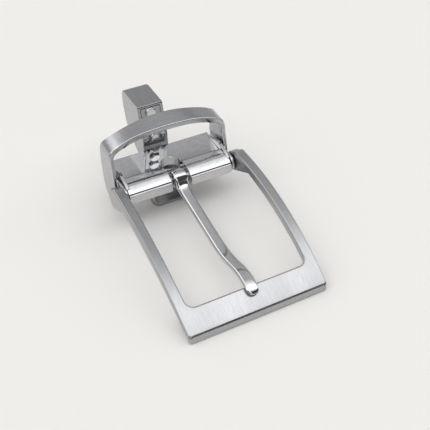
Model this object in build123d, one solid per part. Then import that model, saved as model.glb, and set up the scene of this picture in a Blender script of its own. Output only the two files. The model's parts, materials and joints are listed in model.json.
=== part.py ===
from build123d import *
import os

os.makedirs("parts", exist_ok=True)

# A clamping belt buckle for a 35 mm strap. Every shape is drawn about the centre of the
# axle (x along the axle, y to the rear, z up) and moved as a whole when it is written out.
# The small frame slopes down to the front while the clip behind it lies level.

# where the axle stands above the middle of the footprint
AXLE_Y = 10.1
AXLE_Z = 13.40
FRAME_TILT = 16.0

# pins and their holes
AXLE_R = 1.25
AXLE_HALF = 22.0
LEVER_PIN_R = 1.10
LEVER_PIN_HALF = 20.2
RUN_GAP = 0.06

# frame, drawn level before it is tilted
FRAME_EYE_R = 3.4
FRAME_FRONT_HALF = 23.1
FRAME_MID_HALF = 23.7
FRAME_REAR_HALF = 23.25
BAR_FRONT_TOP = (-55.5, 4.9)
BAR_FRONT_FOOT = (-56.45, 2.35)
FRAME_CROWN = (-27.5, 8.9)
ARM_TOP_END = (-1.5, 5.46)
ARM_EYE_TOP = (0.88, 3.28)
ARM_NECK = (-2.33, -2.48)
ARM_UNDER = (-9.5, 4.25)
FRAME_UNDER_MID = (-30.0, 5.85)
BAR_REAR = -47.5
WINDOW_FRONT_HALF = 20.0
WINDOW_MID_HALF = 20.3
WINDOW_REAR_HALF = 19.75
WINDOW_CORNER = 2.7
FRAME_CORNER = 1.0

# barrel and plate
BARREL_TOP = [(4.7, 2.65), (2.8, 2.98), (0.7, 2.95), (-1.0, 2.2), (-2.2, 1.45), (-2.65, 0.95)]
BARREL_LIP = [(-3.05, 0.95), (-3.05, -1.9)]
BARREL_UNDER = [(-3.05, -1.9), (-2.2, -2.85), (0.0, -3.15), (2.2, -2.5), (3.1, -0.9)]
BARREL_REAR = [(3.1, 1.2), (4.7, 1.2)]
BARREL_HALF = 18.4
PLATE_HALF = 18.6
PLATE_TOP = 2.5
PLATE_T = 1.3
PLATE_REAR = 15.8
NOTCH_HALF = 3.4
NOTCH_APEX = 9.0
COLLAR_WALL = 1.1
COLLAR_FOOT = -1.0
EAR_IN = 17.6

# lever pivot behind and below the axle
PIVOT_Y = 11.3
PIVOT_Z = -5.0

# keeper loop
CHEEK_IN = 19.4
CHEEK_OUT = 20.8
LUG_IN = 18.65
BRIDGE_FRONT = 7.0
BRIDGE_REAR = 13.4
# stations of the arch from its middle outwards: x, z at the front edge, rise per mm to the rear
ARCH_OUTSIDE = [
    (0.0, 16.6, 0.22), (6.0, 16.45, 0.17), (11.0, 15.9, 0.10), (16.0, 14.55, 0.07),
    (19.1, 13.15, 0.05), (20.35, 12.0, 0.03), (20.8, 10.4, 0.0), (20.8, 8.4, 0.0),
]
ARCH_INSIDE = [
    (0.0, 14.8, 0.22), (6.0, 14.6, 0.17), (12.0, 13.65, 0.10), (15.4, 12.6, 0.07),
    (18.2, 11.45, 0.05), (19.1, 10.6, 0.03), (19.4, 9.4, 0.0), (19.4, 7.4, 0.0),
]

# lever
LEVER_HALF = 4.6
LEVER_WALL = 1.4
KNUCKLE_R = 2.0
FOOT_HALF = 7.0
LEVER_FACE_FOOT = (17.75, 4.7)
LEVER_FACE_TOP = (21.0, 16.4)
LEVER_FACE_LEAN = 15.524
POCKET_DEPTH = 0.5
POCKET_HALF = 3.6
POCKET_Z = (2.9, 15.5)
SIDE_BLOCK = (2.2, 3.6, 4.2, 5.8)
STUDS = {"stud_upper": (13.4, 1.9), "stud_middle": (9.2, 1.9), "stud_lower": (5.0, 1.6)}
STUD_HEAD_T = 0.9
STUD_SHANK_R = 0.8

# prong stations: y, z, width, thickness (level, like the frame)
PRONG_EYE_R = 3.2
PRONG_EYE_HALF = 2.6
PRONG_STATIONS = [
    (-1.6, -1.2, 5.0, 2.6),
    (-5.6, -0.9, 4.3, 2.2),
    (-12.5, -0.2, 4.1, 2.0),
    (-23.0, 0.8, 4.1, 2.0),
    (-31.5, 1.9, 4.2, 2.0),
    (-36.5, 3.7, 4.3, 2.0),
    (-41.0, 6.1, 4.4, 2.0),
    (-45.0, 7.7, 4.5, 1.9),
    (-48.5, 7.75, 4.5, 1.7),
    (-50.9, 7.1, 3.6, 1.3),
]


def rod(radius, x0, x1, y=0.0, z=0.0):
    """A round bar along x."""
    return Pos((x0 + x1) / 2, y, z) * Rot(Y=90) * Cylinder(radius, x1 - x0)


def side_prism(points, x0, x1):
    """A side view (y, z) made solid between two x positions."""
    face = make_face(Polyline(*points, close=True))
    return extrude(Plane.YZ.offset(x0) * face, amount=x1 - x0)


def block(x0, x1, y0, y1, z0, z1):
    """A box between two corners."""
    centre = Pos((x0 + x1) / 2, (y0 + y1) / 2, (z0 + z1) / 2)
    return centre * Box(x1 - x0, y1 - y0, z1 - z0)


def frame_side():
    """The frame's side view, from the bar at the front to the eye on the axle."""
    eye_low = (FRAME_EYE_R * 0.7071, -FRAME_EYE_R * 0.7071)
    edges = [
        ThreePointArc(BAR_FRONT_TOP, FRAME_CROWN, ARM_TOP_END),
        ThreePointArc(ARM_TOP_END, (0.25, 4.75), ARM_EYE_TOP),
        ThreePointArc(ARM_EYE_TOP, eye_low, ARM_NECK),
        Line(ARM_NECK, ARM_UNDER),
        ThreePointArc(ARM_UNDER, FRAME_UNDER_MID, BAR_FRONT_FOOT),
        Line(BAR_FRONT_FOOT, BAR_FRONT_TOP),
    ]
    return make_face(Wire(edges))


def frame_plan(front_half, mid_half, rear_half, front, rear):
    """A slightly barrelled outline seen from above."""
    mid = (front + rear) / 2
    edges = [
        ThreePointArc((front_half, front), (mid_half, mid), (rear_half, rear)),
        Line((rear_half, rear), (-rear_half, rear)),
        ThreePointArc((-rear_half, rear), (-mid_half, mid), (-front_half, front)),
        Line((-front_half, front), (front_half, front)),
    ]
    return make_face(Wire(edges))


def buckle_frame():
    """Front bar and two arms in one piece, with a blind hole for the axle in each eye."""
    side = extrude(Plane.YZ * frame_side(), amount=26.0, both=True)
    outer = frame_plan(FRAME_FRONT_HALF, FRAME_MID_HALF, FRAME_REAR_HALF, -58.0, 6.0)
    window = frame_plan(WINDOW_FRONT_HALF, WINDOW_MID_HALF, WINDOW_REAR_HALF, BAR_REAR, 6.0)
    window = fillet(window.vertices().sort_by(Axis.Y)[:2], WINDOW_CORNER)
    body = side & extrude(outer, amount=20.0, both=True)
    body = body - extrude(window, amount=20.0, both=True)
    corners = body.edges().filter_by(lambda e: e.center().Y < -55.0 and abs(e.center().X) > 22.0)
    body = fillet(corners.filter_by(lambda e: abs(e.bounding_box().size.Z) > 2.0), FRAME_CORNER)
    for side_sign in (-1, 1):
        inner = side_sign * (WINDOW_REAR_HALF - 1.0)
        end = side_sign * (AXLE_HALF + 0.2)
        body = body - rod(AXLE_R + RUN_GAP, min(inner, end), max(inner, end))
    return Rot(X=FRAME_TILT) * body


def axle_pin():
    """The steel axle through the barrel, the prong, the loop's lugs and the frame's eyes."""
    return rod(AXLE_R, -AXLE_HALF, AXLE_HALF)


def lever_pin():
    """The pin that the lever turns on, held by the plate's ears and the loop's cheeks."""
    return rod(LEVER_PIN_R, -LEVER_PIN_HALF, LEVER_PIN_HALF, PIVOT_Y, PIVOT_Z)


def notch_shape(half, apex, z0, z1):
    """A round-ended slot that opens to the front."""
    centre_y = apex - half
    slot = block(-half, half, -8.0, centre_y, z0, z1)
    return slot + Pos(0, centre_y, (z0 + z1) / 2) * Cylinder(half, z1 - z0)


def clamp_plate():
    """Barrel, plate and two ears: the strap is clamped against the plate's underside."""
    outline = Wire([
        Spline(*BARREL_TOP),
        Line(BARREL_TOP[-1], BARREL_LIP[0]),
        Line(BARREL_LIP[0], BARREL_LIP[1]),
        Spline(*BARREL_UNDER),
        Line(BARREL_UNDER[-1], BARREL_REAR[0]),
        Line(BARREL_REAR[0], BARREL_REAR[1]),
        Line(BARREL_REAR[1], BARREL_TOP[0]),
    ])
    body = extrude(Plane.YZ * make_face(outline), amount=BARREL_HALF, both=True)
    under = PLATE_TOP - PLATE_T
    body = body + block(-PLATE_HALF, PLATE_HALF, 3.1, PLATE_REAR, under, PLATE_TOP)
    collar = notch_shape(NOTCH_HALF + COLLAR_WALL, NOTCH_APEX + COLLAR_WALL, COLLAR_FOOT, PLATE_TOP)
    body = body + (collar & block(-6.0, 6.0, 1.5, 12.0, COLLAR_FOOT, PLATE_TOP))
    ear = [
        (-1.0, 2.6), (1.0, 3.6), (3.5, 4.6), (5.5, 5.0), (7.5, 4.6), (10.5, 3.4), (13.9, 2.5),
        (13.9, -4.0), (13.2, -6.2), (11.3, -7.1), (9.4, -6.2), (8.4, -3.0), (5.5, 1.2),
        (3.1, 1.2), (3.1, 1.6), (0.0, 1.6),
    ]
    for x0 in (-PLATE_HALF, EAR_IN):
        body = body + side_prism(ear, x0, x0 + PLATE_HALF - EAR_IN)
    body = body - notch_shape(NOTCH_HALF, NOTCH_APEX, -6.0, 6.0)
    body = body - rod(AXLE_R, -20.0, 20.0)
    return body - rod(LEVER_PIN_R, -20.0, 20.0, PIVOT_Y, PIVOT_Z)


def arch_face(stations, y):
    """The loop's outside or inside as seen from the front, at one distance to the rear."""
    right = [(x, z + rise * (y - BRIDGE_FRONT)) for x, z, rise in stations]
    left = [(-x, z) for x, z in reversed(right[1:])]
    foot_x = right[-1][0]
    edges = [
        Spline(*(left + right)),
        Line(right[-1], (foot_x, -24.0)),
        Line((foot_x, -24.0), (-foot_x, -24.0)),
        Line((-foot_x, -24.0), left[0]),
    ]
    return Plane.XZ.offset(-y) * make_face(Wire(edges))


def keeper_loop():
    """A bent strip: the arched bridge, two cheeks and a lug inside each cheek on the axle."""
    near, far = 3.0, 17.4
    outer = loft([arch_face(ARCH_OUTSIDE, near), arch_face(ARCH_OUTSIDE, far)], ruled=True)
    inner = loft([arch_face(ARCH_INSIDE, near), arch_face(ARCH_INSIDE, far)], ruled=True)
    strip = outer - inner
    front = [(7.0, 12.8), (6.2, 9.0), (5.4, 5.6), (4.45, 2.0), (4.4, -1.0), (5.3, -3.8), (8.5, -7.2)]
    rear = [(12.6, -7.2), (14.0, -5.0), (14.9, -1.1), (15.4, 2.5), (15.5, 6.4), (14.9, 10.4), (13.4, 14.0)]
    edges = [
        Line((BRIDGE_FRONT, 24.0), front[0]),
        Spline(*front),
        Line(front[-1], rear[0]),
        Spline(*rear),
        Line(rear[-1], (BRIDGE_REAR, 24.0)),
        Line((BRIDGE_REAR, 24.0), (BRIDGE_FRONT, 24.0)),
    ]
    outline = extrude(Plane.YZ * make_face(Wire(edges)), amount=24.0, both=True)
    body = strip & outline
    for x0 in (-CHEEK_IN - 0.2, LUG_IN):
        x1 = x0 + CHEEK_IN + 0.2 - LUG_IN
        body = body + rod(3.0, x0, x1)
        body = body + side_prism([(0.0, 3.0), (7.0, 2.6), (7.0, -2.6), (0.0, -3.0)], x0, x1)
    body = body - rod(AXLE_R, -21.0, 21.0)
    return body - rod(LEVER_PIN_R, -LEVER_PIN_HALF, LEVER_PIN_HALF, PIVOT_Y, PIVOT_Z)


def prong():
    """The tongue: an eye on the axle, a rounded shank and a bent tip that lies on the bar."""
    eye = rod(PRONG_EYE_R, -PRONG_EYE_HALF, PRONG_EYE_HALF)
    points = [(0.0, y, z) for y, z, width, thick in PRONG_STATIONS]
    path = Spline(*points)
    sections = []
    for index, (y, z, width, thick) in enumerate(PRONG_STATIONS):
        tangent = path.tangent_at(path.param_at_point(points[index]))
        plane = Plane(origin=points[index], x_dir=(1, 0, 0), z_dir=tangent)
        sections.append(plane * RectangleRounded(width, thick, thick * 0.42))
    shank = loft(sections)
    body = eye + shank
    body = body - rod(AXLE_R + RUN_GAP, -4.0, 4.0)
    return Rot(X=FRAME_TILT) * body


def face_y(z):
    """How far to the rear the lever's leaning front face is at a height."""
    run = LEVER_FACE_TOP[0] - LEVER_FACE_FOOT[0]
    rise = LEVER_FACE_TOP[1] - LEVER_FACE_FOOT[1]
    return LEVER_FACE_FOOT[0] + (z - LEVER_FACE_FOOT[1]) * run / rise


def stud_place(z):
    """Where a stud sits on the floor of the pocket, with its head pointing forward."""
    return Pos(0, face_y(z) + POCKET_DEPTH, z) * Rot(X=90 - LEVER_FACE_LEAN)


def stud(radius, z):
    """A round-headed stud riveted through the lever's front wall."""
    head = Cylinder(radius, STUD_HEAD_T, align=(Align.CENTER, Align.CENTER, Align.MIN))
    head = fillet(head.edges().group_by(Axis.Z)[-1], 0.55)
    shank = Pos(0, 0, -1.9) * Cylinder(STUD_SHANK_R, 2.0, align=(Align.CENTER, Align.CENTER, Align.MIN))
    return stud_place(z) * (head + shank)


def clamp_lever():
    """Hollow thumb piece, knuckle and clamping foot in one casting."""
    back = [
        (32.6, 16.4), (34.2, 15.6), (34.7, 13.6), (34.3, 9.6), (32.7, 4.9), (30.2, 1.2),
        (26.0, -1.9), (19.5, -4.9), (12.6, -6.9),
    ]
    outside = Wire([
        Line((17.6, -0.8), LEVER_FACE_FOOT),
        Line(LEVER_FACE_FOOT, LEVER_FACE_TOP),
        Line(LEVER_FACE_TOP, back[0]),
        Spline(*back),
        Line(back[-1], (11.3, -3.6)),
        Line((11.3, -3.6), (14.6, -2.6)),
        Line((14.6, -2.6), (17.6, -0.8)),
    ])
    cavity = [
        (19.2, -0.2), (19.25, 4.6), (22.1, 15.0), (32.6, 15.0), (33.1, 13.6), (32.8, 9.8),
        (31.1, 5.2), (28.8, 2.0), (28.8, -9.0), (17.0, -9.0), (17.0, -2.6),
    ]
    arm = [
        (10.3, -3.6), (9.4, -5.8), (4.1, -12.2), (4.2, -13.4), (9.0, -13.4), (13.3, -5.6), (12.2, -3.4),
    ]
    inner_half = LEVER_HALF - LEVER_WALL
    body = extrude(Plane.YZ * make_face(outside), amount=LEVER_HALF, both=True)
    body = body - side_prism(cavity, -inner_half, inner_half)
    body = body + rod(KNUCKLE_R, -LEVER_HALF, LEVER_HALF, PIVOT_Y, PIVOT_Z)
    foot = side_prism(arm, -FOOT_HALF, FOOT_HALF)
    view = [
        (-LEVER_HALF, -3.0), (-LEVER_HALF, -7.6), (-FOOT_HALF, -11.2), (-FOOT_HALF, -14.0),
        (FOOT_HALF, -14.0), (FOOT_HALF, -11.2), (LEVER_HALF, -7.6), (LEVER_HALF, -3.0),
    ]
    front_view = make_face(Polyline(*view, close=True))
    foot = foot & extrude(Plane.XZ * front_view, amount=40.0, both=True)
    body = body + foot
    body = body - rod(LEVER_PIN_R + RUN_GAP, -8.0, 8.0, PIVOT_Y, PIVOT_Z)
    low, high = POCKET_Z
    pocket = [
        (face_y(low) - 1.0, low), (face_y(high) - 1.0, high),
        (face_y(high) + POCKET_DEPTH, high), (face_y(low) + POCKET_DEPTH, low),
    ]
    body = body - side_prism(pocket, -POCKET_HALF, POCKET_HALF)
    near, far, block_low, block_high = SIDE_BLOCK
    lump = [
        (face_y(block_low) - 0.5, block_low), (face_y(block_high) - 0.5, block_high),
        (face_y(block_high) + 0.9, block_high), (face_y(block_low) + 0.9, block_low),
    ]
    for x0 in (-far, near):
        body = body + side_prism(lump, x0, x0 + far - near)
    for height, radius in STUDS.values():
        body = body - stud_place(height) * Cylinder(STUD_SHANK_R, 6.0)
    return body


PARTS = {
    "buckle_frame": buckle_frame(),
    "axle_pin": axle_pin(),
    "clamp_plate": clamp_plate(),
    "keeper_loop": keeper_loop(),
    "lever_pin": lever_pin(),
    "prong": prong(),
    "clamp_lever": clamp_lever(),
}
for node, (height, radius) in STUDS.items():
    PARTS[node] = stud(radius, height)

for name, solid in PARTS.items():
    placed = Pos(0, AXLE_Y, AXLE_Z) * solid
    export_step(placed, "parts/" + name + ".step")
    box = placed.bounding_box()
    print(name, len(placed.solids()), round(placed.volume, 2), box.min, box.max)
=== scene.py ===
import json
from math import atan2, cos, pi, radians, sin

import bpy
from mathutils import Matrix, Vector


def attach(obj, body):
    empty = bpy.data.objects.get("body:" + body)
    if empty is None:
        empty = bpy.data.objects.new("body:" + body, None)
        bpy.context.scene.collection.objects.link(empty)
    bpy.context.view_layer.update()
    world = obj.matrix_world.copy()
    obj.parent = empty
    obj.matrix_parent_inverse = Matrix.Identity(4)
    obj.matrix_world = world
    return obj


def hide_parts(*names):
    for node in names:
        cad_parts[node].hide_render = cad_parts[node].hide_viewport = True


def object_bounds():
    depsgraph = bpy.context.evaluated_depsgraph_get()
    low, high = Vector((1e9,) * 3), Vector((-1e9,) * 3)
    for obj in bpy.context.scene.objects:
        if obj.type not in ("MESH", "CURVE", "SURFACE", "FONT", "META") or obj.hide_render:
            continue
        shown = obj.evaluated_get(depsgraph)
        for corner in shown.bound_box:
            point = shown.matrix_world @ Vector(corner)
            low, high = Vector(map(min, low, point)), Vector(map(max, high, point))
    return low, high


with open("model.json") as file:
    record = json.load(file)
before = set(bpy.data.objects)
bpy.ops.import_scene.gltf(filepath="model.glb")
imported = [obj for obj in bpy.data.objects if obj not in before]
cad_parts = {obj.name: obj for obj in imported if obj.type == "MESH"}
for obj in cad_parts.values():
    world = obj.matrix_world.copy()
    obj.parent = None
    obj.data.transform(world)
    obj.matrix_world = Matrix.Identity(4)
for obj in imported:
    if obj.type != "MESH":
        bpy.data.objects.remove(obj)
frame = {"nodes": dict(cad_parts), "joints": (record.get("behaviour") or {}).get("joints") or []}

# The table, the camera and the light. The buckle stands on a plain pale sheet under one
# wide soft light overhead, with a soft strip to the left, a dark room in front and a grey
# one behind.
cad_low, cad_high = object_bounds()
MM = 0.001
joints = {joint["name"]: joint for joint in frame["joints"]}
axle = Vector(joints["frame_hinge"]["pos_m"])

camera_data = bpy.data.cameras.new("camera")
camera_data.sensor_width = 36.0
camera_data.lens = 65.3
camera_data.clip_start = 0.01
camera_data.clip_end = 10.0
camera = bpy.data.objects.new("camera", camera_data)
bpy.context.scene.collection.objects.link(camera)
camera.location = axle + Vector((-82.31, -183.05, 160.66)) * MM
camera.rotation_euler = Vector((0.3477, 0.6640, -0.6619)).to_track_quat("-Z", "Y").to_euler()
bpy.context.scene.camera = camera

bpy.ops.object.select_all(action="DESELECT")
bpy.ops.mesh.primitive_plane_add(size=3.0, location=(0.0, 0.0, cad_low.z))
floor = bpy.context.object
floor.name = "floor"

floor_finish = bpy.data.materials.new("pale_paper")
floor_finish.use_nodes = True
nodes = floor_finish.node_tree.nodes
links = floor_finish.node_tree.links
shader = nodes["Principled BSDF"]
shader.inputs["Roughness"].default_value = 0.9
shader.inputs["Specular IOR Level"].default_value = 0.1
coords = nodes.new("ShaderNodeTexCoord")
fibre = nodes.new("ShaderNodeTexNoise")
fibre.inputs["Scale"].default_value = 40.0
paper_ramp = nodes.new("ShaderNodeValToRGB")
paper_ramp.color_ramp.elements[0].color = (0.885, 0.865, 0.838, 1.0)
paper_ramp.color_ramp.elements[1].color = (0.900, 0.880, 0.853, 1.0)
links.new(coords.outputs["Object"], fibre.inputs["Vector"])
links.new(fibre.outputs["Fac"], paper_ramp.inputs["Fac"])
links.new(paper_ramp.outputs["Color"], shader.inputs["Base Color"])
floor.data.materials.append(floor_finish)

world = bpy.data.worlds.new("soft_studio")
world.use_nodes = True
bpy.context.scene.world = world
nodes = world.node_tree.nodes
links = world.node_tree.links
background = nodes["Background"]
direction = nodes.new("ShaderNodeTexCoord")
axes = nodes.new("ShaderNodeSeparateXYZ")
links.new(direction.outputs["Generated"], axes.inputs["Vector"])

height = nodes.new("ShaderNodeMath")
height.operation = "MAXIMUM"
height.inputs[1].default_value = 0.02
links.new(axes.outputs["Z"], height.inputs[0])
LEAN_LIMIT = 2.0


def sky_levels(axis, levels, tint):
    """The sky's brightness by how far a direction leans along an axis, from straight up."""
    lean = nodes.new("ShaderNodeMath")
    lean.operation = "DIVIDE"
    links.new(axes.outputs[axis], lean.inputs[0])
    links.new(height.outputs["Value"], lean.inputs[1])
    place = nodes.new("ShaderNodeMapRange")
    place.inputs["From Min"].default_value = -LEAN_LIMIT
    place.inputs["From Max"].default_value = LEAN_LIMIT
    links.new(lean.outputs["Value"], place.inputs["Value"])
    ramp = nodes.new("ShaderNodeValToRGB")
    links.new(place.outputs["Result"], ramp.inputs["Fac"])
    stops = ramp.color_ramp.elements
    while len(stops) < len(levels):
        stops.new(0.5)
    for stop, (leaning, level) in zip(stops, levels):
        stop.position = (leaning + LEAN_LIMIT) / (2 * LEAN_LIMIT)
        stop.color = (level * tint[0], level * tint[1], level * tint[2], 1.0)
    return ramp.outputs["Color"]


# below zero is the front half of the room
ROOM_LEVELS = [
    (-1.90, 0.040), (-0.78, 0.030), (-0.56, 0.98), (-0.22, 1.00), (-0.08, 0.60), (0.15, 0.30),
    (0.90, 0.27), (1.02, 0.13), (1.185, 0.12), (1.225, 0.27), (1.90, 0.25),
]
# below zero is the left half, where the strip draws bright streaks along rounded edges
STRIP_LEVELS = [(-1.30, 0.0), (-0.95, 0.55), (-0.40, 0.85), (-0.16, 0.0), (1.90, 0.0)]
lighter = nodes.new("ShaderNodeMix")
lighter.data_type = "RGBA"
lighter.blend_type = "LIGHTEN"
lighter.inputs["Factor"].default_value = 1.0
links.new(sky_levels("Y", ROOM_LEVELS, (0.985, 0.99, 1.0)), lighter.inputs["A"])
links.new(sky_levels("X", STRIP_LEVELS, (1.0, 1.0, 1.0)), lighter.inputs["B"])
links.new(lighter.outputs["Result"], background.inputs["Color"])
background.inputs["Strength"].default_value = 2.1
bpy.context.scene.view_settings.view_transform = "Standard"

# The frame: one die-cast piece, a wide bar with two arms that end in eyes on the axle.
# It is cast, ground to a fine satin on top with lines that run front to back, and plated
# in nickel. Its edges are broken to a small round with the same satin.
FRAME_EDGE = 0.6 * MM
SHARP_ANGLE = 35.0
SMOOTH_ANGLE = 32.0
FLAT_ANGLE = 0.4


def take_copy(node, name, weld=0.002 * MM, cuts=()):
    """A merged copy of a CAD node, with its flat faces made whole and then cut into short
    lengths, so that a long curved face has no point far from its neighbours."""
    piece = bpy.data.objects.new(name, frame["nodes"][node].data.copy())
    bpy.context.scene.collection.objects.link(piece)
    piece.data.materials.clear()
    select_only(piece)
    bpy.ops.object.mode_set(mode="EDIT")
    bpy.ops.mesh.select_all(action="SELECT")
    bpy.ops.mesh.remove_doubles(threshold=weld)
    bpy.ops.mesh.dissolve_limited(angle_limit=radians(FLAT_ANGLE))
    for place, normal in cuts:
        bpy.ops.mesh.select_all(action="SELECT")
        bpy.ops.mesh.bisect(plane_co=axle + Vector(place) * MM, plane_no=normal)
    bpy.ops.mesh.select_all(action="DESELECT")
    bpy.ops.object.mode_set(mode="OBJECT")
    return piece


def select_only(piece):
    bpy.ops.object.select_all(action="DESELECT")
    piece.select_set(True)
    bpy.context.view_layer.objects.active = piece


def break_edges(piece, width, edge_slot=-1, segments=3):
    """Rounds every sharp edge; edge_slot gives the new faces their own finish."""
    select_only(piece)
    bevel = piece.modifiers.new("edge_round", "BEVEL")
    bevel.width = width
    bevel.segments = segments
    bevel.limit_method = "ANGLE"
    bevel.angle_limit = radians(SHARP_ANGLE)
    bevel.use_clamp_overlap = False
    bevel.material = edge_slot
    bpy.ops.object.modifier_apply(modifier=bevel.name)


def smooth(piece):
    select_only(piece)
    bpy.ops.object.shade_smooth_by_angle(angle=radians(SMOOTH_ANGLE))
    weighted = piece.modifiers.new("weighted", "WEIGHTED_NORMAL")
    weighted.keep_sharp = True
    bpy.ops.object.modifier_apply(modifier=weighted.name)


def build_grain_group():
    """Fine grinding lines: outputs a value for tint, one for roughness, and a height."""
    group = bpy.data.node_groups.new("grinding_lines", "ShaderNodeTree")
    group.interface.new_socket("Vector", in_out="INPUT", socket_type="NodeSocketVector")
    for socket in ("Fineness", "Drift"):
        group.interface.new_socket(socket, in_out="INPUT", socket_type="NodeSocketFloat")
    for socket in ("Lines", "Clouds"):
        group.interface.new_socket(socket, in_out="OUTPUT", socket_type="NodeSocketFloat")
    inside = group.nodes
    join = group.links
    start = inside.new("NodeGroupInput")
    end = inside.new("NodeGroupOutput")
    fine = inside.new("ShaderNodeTexNoise")
    fine.inputs["Detail"].default_value = 4.0
    fine.inputs["Roughness"].default_value = 0.65
    clouds = inside.new("ShaderNodeTexNoise")
    clouds.inputs["Detail"].default_value = 2.0
    join.new(start.outputs["Vector"], fine.inputs["Vector"])
    join.new(start.outputs["Fineness"], fine.inputs["Scale"])
    join.new(start.outputs["Vector"], clouds.inputs["Vector"])
    join.new(start.outputs["Drift"], clouds.inputs["Scale"])
    join.new(fine.outputs["Fac"], end.inputs["Lines"])
    join.new(clouds.outputs["Fac"], end.inputs["Clouds"])
    return group


grain_group = build_grain_group()


def metal(name, tint, rough, rough_swing, grain_scale, grain_depth, stretch):
    """A plated metal: stretch is how the grinding lines are drawn out along x, y and z."""
    finish = bpy.data.materials.new(name)
    finish.use_nodes = True
    tree = finish.node_tree
    body = tree.nodes["Principled BSDF"]
    body.inputs["Metallic"].default_value = 1.0
    place = tree.nodes.new("ShaderNodeTexCoord")
    draw_out = tree.nodes.new("ShaderNodeMapping")
    draw_out.inputs["Scale"].default_value = stretch
    grain = tree.nodes.new("ShaderNodeGroup")
    grain.node_tree = grain_group
    grain.inputs["Fineness"].default_value = grain_scale
    grain.inputs["Drift"].default_value = grain_scale * 0.06
    tree.links.new(place.outputs["Object"], draw_out.inputs["Vector"])
    tree.links.new(draw_out.outputs["Vector"], grain.inputs["Vector"])
    colour = tree.nodes.new("ShaderNodeValToRGB")
    colour.color_ramp.elements[0].position = 0.35
    colour.color_ramp.elements[1].position = 0.65
    colour.color_ramp.elements[0].color = (*[c * 0.94 for c in tint], 1.0)
    colour.color_ramp.elements[1].color = (*[min(1.0, c * 1.05) for c in tint], 1.0)
    tree.links.new(grain.outputs["Lines"], colour.inputs["Fac"])
    tree.links.new(colour.outputs["Color"], body.inputs["Base Color"])
    dull = tree.nodes.new("ShaderNodeMapRange")
    dull.inputs["From Min"].default_value = 0.3
    dull.inputs["From Max"].default_value = 0.7
    dull.inputs["To Min"].default_value = rough - rough_swing
    dull.inputs["To Max"].default_value = rough + rough_swing
    tree.links.new(grain.outputs["Clouds"], dull.inputs["Value"])
    tree.links.new(dull.outputs["Result"], body.inputs["Roughness"])
    bump = tree.nodes.new("ShaderNodeBump")
    bump.inputs["Strength"].default_value = 0.35
    bump.inputs["Distance"].default_value = grain_depth
    tree.links.new(grain.outputs["Lines"], bump.inputs["Height"])
    tree.links.new(bump.outputs["Normal"], body.inputs["Normal"])
    return finish


FRONT_TO_BACK = (1.0, 0.05, 0.3)
satin_frame = metal(
    "satin_nickel_frame", (0.44, 0.444, 0.452), 0.27, 0.04, 2600.0, 0.006 * MM, FRONT_TO_BACK)
# the bevels' own finish: smoother than the satin, a real polish, and lighter in tint, a painted highlight
# along the edges
edge_nickel_painted_highlight = metal("nickel_edge_painted_highlight", (0.56, 0.56, 0.57), 0.14, 0.03, 900.0, 0.001 * MM, (1.0, 1.0, 1.0))

FRAME_CUTS = (-48.3, -42.1, -36.1, -30.1, -24.1, -18.1, -12.1, -6.1)
frame_cuts = [((0.0, place, 0.0), (0.0, 1.0, 0.0)) for place in FRAME_CUTS]
frame_piece = take_copy("buckle_frame", "frame_casting", cuts=frame_cuts)
frame_piece.data.materials.append(satin_frame)
break_edges(frame_piece, FRAME_EDGE, segments=4)
smooth(frame_piece)
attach(frame_piece, "frame")
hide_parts("buckle_frame")

# The axle: a plain drawn steel pin through the barrel, with its ends hidden in the
# frame's eyes. Only short lengths show, beside the prong and beside the loop's lugs.
pin_steel = metal("drawn_steel", (0.42, 0.42, 0.43), 0.22, 0.04, 1500.0, 0.002 * MM, (0.1, 1.0, 1.0))
axle_piece = take_copy("axle_pin", "axle_rod")
axle_piece.data.materials.append(pin_steel)
break_edges(axle_piece, 0.2 * MM)
smooth(axle_piece)
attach(axle_piece, "clip")
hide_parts("axle_pin")

# The clamp plate: a thick plate rolled round the axle and polished like a mirror, with
# an arched notch for the prong and a thin ear at each end that holds the lever's pin.
mirror_plate = metal("mirror_nickel", (0.60, 0.60, 0.61), 0.055, 0.015, 500.0, 0.0006 * MM, (1.0, 1.0, 1.0))
PLATE_CUTS = (-14.1, -9.1, -4.9, 0.07, 4.9, 9.1, 14.1)
plate_cuts = [((place, 0.0, 0.0), (1.0, 0.0, 0.0)) for place in PLATE_CUTS]
plate_piece = take_copy("clamp_plate", "barrel_and_plate", cuts=plate_cuts)
plate_piece.data.materials.append(mirror_plate)
plate_piece.data.materials.append(edge_nickel_painted_highlight)
break_edges(plate_piece, 0.22 * MM, edge_slot=1)
smooth(plate_piece)
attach(plate_piece, "clip")
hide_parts("clamp_plate")

# The keeper loop: a strip bent into an arched bridge with a cheek at each side. It is satin,
# its edges smoother and lighter in tint; the lighter tint on the edges is a painted highlight.
satin_loop = metal("satin_nickel_loop", (0.46, 0.465, 0.48), 0.25, 0.04, 2400.0, 0.004 * MM, (0.08, 1.0, 0.5))
loop_cuts = [((place, 0.0, 0.0), (1.0, 0.0, 0.0)) for place in range(-17, 19, 2)]
loop_cuts += [((0.0, 0.0, place), (0.0, 0.0, 1.0)) for place in (-4.3, 4.3, 8.1)]
loop_piece = take_copy("keeper_loop", "keeper_bridge", cuts=loop_cuts)
loop_piece.data.materials.append(satin_loop)
loop_piece.data.materials.append(edge_nickel_painted_highlight)
break_edges(loop_piece, 0.35 * MM, edge_slot=1)
smooth(loop_piece)
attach(loop_piece, "clip")
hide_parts("keeper_loop")

# The lever's pin: a thinner steel rod from cheek to cheek, behind and below the axle.
lever_rod = take_copy("lever_pin", "lever_rod")
lever_rod.data.materials.append(pin_steel)
break_edges(lever_rod, 0.15 * MM)
smooth(lever_rod)
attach(lever_rod, "clip")
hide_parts("lever_pin")

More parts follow.
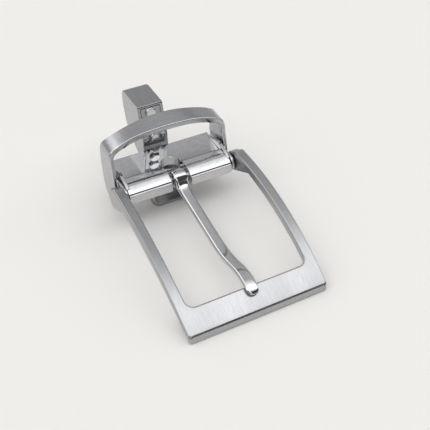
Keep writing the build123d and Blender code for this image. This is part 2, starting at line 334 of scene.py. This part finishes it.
# The prong: cast in one with its eye, polished all over. The eye turns on the axle, the
# shank narrows in front of it, then rises to a bent, rounded tip that rests on the bar.
PRONG_TILT = 16.0
PRONG_EYE_R = 3.25
PRONG_EYE_LONG = 4.7
PRONG_ROUTE = [
    (-3.6, -0.85, 4.5, 2.7),
    (-5.6, -0.90, 4.35, 2.4),
    (-8.5, -0.55, 4.3, 2.4),
    (-12.5, -0.2, 4.25, 2.4),
    (-18.0, 0.3, 4.25, 2.4),
    (-23.0, 0.8, 4.25, 2.4),
    (-28.0, 1.35, 4.3, 2.4),
    (-31.5, 1.95, 4.35, 2.35),
    (-34.5, 2.85, 4.4, 2.3),
    (-37.5, 4.25, 4.45, 2.3),
    (-41.0, 6.2, 4.5, 2.2),
    (-44.0, 7.4, 4.6, 2.05),
    (-47.0, 7.8, 4.65, 1.95),
    (-49.6, 7.45, 4.3, 1.75),
    (-51.2, 7.0, 3.0, 1.2),
]
EYE_SIDES = 16
EYE_SHOULDER = 0.95
EYE_INSET = 0.9
ROW_NARROWING = 0.72
bpy.ops.object.select_all(action="DESELECT")
bpy.ops.mesh.primitive_cylinder_add(
    vertices=EYE_SIDES, radius=PRONG_EYE_R * MM, depth=PRONG_EYE_LONG * MM,
    location=(0.0, 0.0, 0.0), rotation=(0.0, pi / 2, 0.0))
prong_piece = bpy.context.object
prong_piece.name = "prong_tongue"
bpy.ops.object.transform_apply(location=True, rotation=True, scale=True)


def pick_faces(piece, test):
    """Selects the faces whose centre and normal pass the test, and nothing else."""
    bpy.ops.object.mode_set(mode="EDIT")
    bpy.ops.mesh.select_mode(type="FACE")
    bpy.ops.mesh.select_all(action="DESELECT")
    bpy.ops.object.mode_set(mode="OBJECT")
    for face in piece.data.polygons:
        face.select = test(face.center, face.normal)
    bpy.ops.object.mode_set(mode="EDIT")


pick_faces(prong_piece, lambda centre, normal: abs(normal.x) > 0.9)
bpy.ops.mesh.inset(thickness=EYE_SHOULDER * MM, use_individual=True)
bpy.ops.mesh.inset(thickness=EYE_INSET * MM, use_individual=True)
bpy.ops.mesh.bridge_edge_loops()
pick_faces(prong_piece, lambda centre, normal: normal.y < -0.95 and centre.y < -2.6 * MM)
last = (-PRONG_EYE_R, 0.0, PRONG_EYE_LONG, 2 * PRONG_EYE_R * sin(2 * pi / EYE_SIDES))
for station in PRONG_ROUTE:
    dy, dz = (station[0] - last[0]) * MM, (station[1] - last[1]) * MM
    bpy.ops.mesh.extrude_region_move(TRANSFORM_OT_translate={"value": (0.0, dy, dz)})
    slope = atan2(station[1] - last[1], last[0] - station[0])
    tall = station[3] / max(0.8, cos(slope))
    wide_ratio, tall_ratio = station[2] / last[2], tall / last[3]
    first = last[0] == -PRONG_EYE_R
    bpy.ops.transform.resize(
        value=(wide_ratio, 0.0 if first else 1.0, tall_ratio),
        center_override=(0.0, station[0] * MM, station[1] * MM))
    if first:
        # the top and bottom rows come in a little, so the section is nearly round
        bpy.ops.object.mode_set(mode="OBJECT")
        for point in prong_piece.data.vertices:
            on_front = abs(point.co.y - station[0] * MM) < 1e-6
            if on_front and abs(point.co.z - station[1] * MM) > 0.5 * MM:
                point.co.x *= ROW_NARROWING
        bpy.ops.object.mode_set(mode="EDIT")
    last = (station[0], station[1], station[2], tall)
bpy.ops.object.mode_set(mode="OBJECT")
soften = prong_piece.modifiers.new("soften", "SUBSURF")
soften.levels = 3
soften.render_levels = 3
bpy.ops.object.modifier_apply(modifier=soften.name)
prong_piece.rotation_euler = (radians(PRONG_TILT), 0.0, 0.0)
prong_piece.location = axle
bpy.ops.object.transform_apply(location=True, rotation=True, scale=True)
bpy.ops.object.shade_smooth()
polished = metal("polished_nickel", (0.58, 0.58, 0.59), 0.11, 0.025, 700.0, 0.001 * MM, (1.0, 0.1, 1.0))
prong_piece.data.materials.append(polished)
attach(prong_piece, "prong")
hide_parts("prong")

# The lever: a hollow casting with a thumb piece on top, a knuckle on its pin and a flat
# foot below that presses the strap against the plate. Satin all over, its edges worn round
# and the front corners of its foot well rounded.
satin_lever = metal(
    "satin_nickel_lever", (0.42, 0.425, 0.44), 0.26, 0.04, 2400.0, 0.004 * MM, (1.0, 0.08, 1.0))
lever_piece = take_copy("clamp_lever", "thumb_lever", weld=0.05 * MM)
lever_piece.data.materials.append(satin_lever)
FOOT_HALF = 7.0
FOOT_FRONT = 4.2
FOOT_ROUND = 2.6
LEVER_GRID = 0.2
LEVER_WEAR = 10
reach = 0.1
select_only(lever_piece)
bpy.ops.object.mode_set(mode="EDIT")
bpy.ops.mesh.select_mode(type="EDGE")
bpy.ops.mesh.select_all(action="DESELECT")
bpy.ops.object.mode_set(mode="OBJECT")
points = lever_piece.data.vertices
for edge in lever_piece.data.edges:
    ends = [(points[index].co - axle) / MM for index in edge.vertices]
    at_corner = all(abs(end.x) > FOOT_HALF - reach and end.y < FOOT_FRONT + reach for end in ends)
    edge.select = at_corner and ends[0].x * ends[1].x > 0.0
bpy.ops.object.mode_set(mode="EDIT")
bpy.ops.mesh.bevel(offset=FOOT_ROUND * MM, segments=8, affect="EDGES", clamp_overlap=False)
bpy.ops.mesh.select_all(action="DESELECT")
bpy.ops.object.mode_set(mode="OBJECT")
even = lever_piece.modifiers.new("even_skin", "REMESH")
even.mode = "VOXEL"
even.voxel_size = LEVER_GRID * MM
bpy.ops.object.modifier_apply(modifier=even.name)
worn = lever_piece.modifiers.new("worn_edges", "SMOOTH")
worn.factor = 0.5
worn.iterations = LEVER_WEAR
bpy.ops.object.modifier_apply(modifier=worn.name)
bpy.ops.object.shade_smooth()
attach(lever_piece, "lever")
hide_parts("clamp_lever")

# The three studs: round-headed rivets through the lever's front face, polished.
for node in ("stud_upper", "stud_middle", "stud_lower"):
    stud_piece = take_copy(node, node + "_head")
    stud_piece.data.materials.append(polished)
    smooth(stud_piece)
    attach(stud_piece, "lever")
    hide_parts(node)
